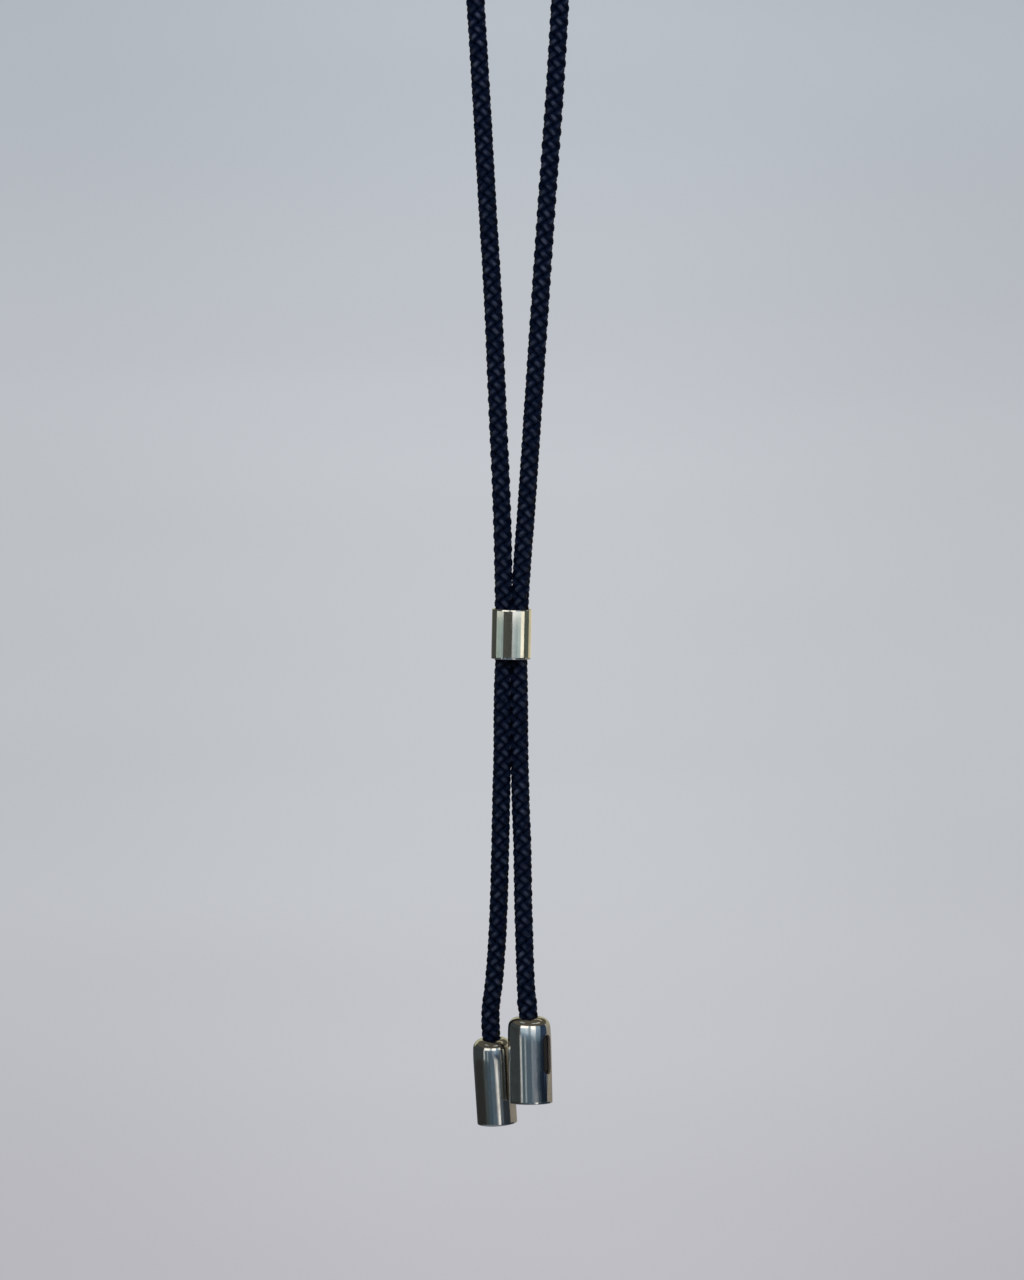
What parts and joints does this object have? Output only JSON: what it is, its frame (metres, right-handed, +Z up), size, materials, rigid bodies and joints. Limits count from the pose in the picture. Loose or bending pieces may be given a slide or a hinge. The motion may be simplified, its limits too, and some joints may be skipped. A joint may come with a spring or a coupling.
{
  "type": "eyeglass retainer strap",
  "caption": "Braided cord strap for spectacles, doubled through a polished tube slider, with an oval metal socket cap and rubber temple grip on each end.",
  "frame": {"origin": "where the inside of the cord loop rests on the peg, hook or neck that it hangs from", "axes": "+Z up, +X to the right with the slider seen from the front, +Y to the back; the strap hangs down along -Z"},
  "size_m": [0.028, 0.0135, 0.2971],
  "materials": {
    "braided_cord": "eight-strand round braid of dull near-black navy polyester",
    "polished_steel": "polished stainless steel with fine handling scratches",
    "crimp_steel": "turned stainless steel",
    "slider_silicone": "matt moulded silicone",
    "grip_silicone": "matt moulded black silicone"
  },
  "bodies": {
    "strap": {"cord_loop": "braided_cord", "left_middle_strand": "braided_cord", "right_middle_strand": "braided_cord"},
    "left_run": {"left_upper_strand": "braided_cord"},
    "right_run": {"right_upper_strand": "braided_cord"},
    "slider": {"slider_sleeve": "polished_steel", "slider_liner": "slider_silicone"},
    "left_tail": {"left_lower_strand": "braided_cord", "left_cord_crimp": "crimp_steel"},
    "right_tail": {"right_lower_strand": "braided_cord", "right_cord_crimp": "crimp_steel"},
    "left_cap": {"left_cap_shell": "polished_steel", "left_temple_grip": "grip_silicone"},
    "right_cap": {"right_cap_shell": "polished_steel", "right_temple_grip": "grip_silicone"}
  },
  "joints": [
    {"name": "slider_slide", "type": "slide", "parent": "strap", "child": "slider", "axis": [0.0209, 0, 0.9998], "range_m": [-0.015, 0.06], "deforming": ["left_middle_strand", "right_middle_strand"]},
    {"name": "left_run_close", "type": "hinge", "parent": "strap", "child": "left_run", "pos_m": [-0.00252, 0, -0.2005], "axis": [0, 1, 0], "range_deg": [-0.9, 3.4], "deforming": ["left_upper_strand", "cord_loop"]},
    {"name": "right_run_close", "type": "hinge", "parent": "strap", "child": "right_run", "pos_m": [0.0005, 0, -0.2005], "axis": [0, -1, 0], "range_deg": [-0.7, 2.7], "deforming": ["right_upper_strand"]},
    {"name": "left_tail_swing", "type": "hinge", "parent": "strap", "child": "left_tail", "pos_m": [-0.00288, 0.00008, -0.2355], "axis": [0, 1, 0], "range_deg": [0, 50], "deforming": ["left_lower_strand"]},
    {"name": "right_tail_swing", "type": "hinge", "parent": "strap", "child": "right_tail", "pos_m": [0.00049, -0.00008, -0.2355], "axis": [0, -1, 0], "range_deg": [0, 50], "deforming": ["right_lower_strand"]},
    {"name": "left_cap_swivel", "type": "hinge", "parent": "left_tail", "child": "left_cap", "pos_m": [-0.00458, 0.00245, -0.27915], "axis": [-0.0645, -0.0349, 0.9973], "continuous": true},
    {"name": "right_cap_swivel", "type": "hinge", "parent": "right_tail", "child": "right_cap", "pos_m": [0.002, -0.00245, -0.2747], "axis": [-0.0227, 0.0227, 0.9995], "continuous": true}
  ],
  "couplings": [
    {"joint": "left_run_close", "follows": "slider_slide", "rad_per_m": 0.957},
    {"joint": "right_run_close", "follows": "slider_slide", "rad_per_m": 0.745}
  ]
}
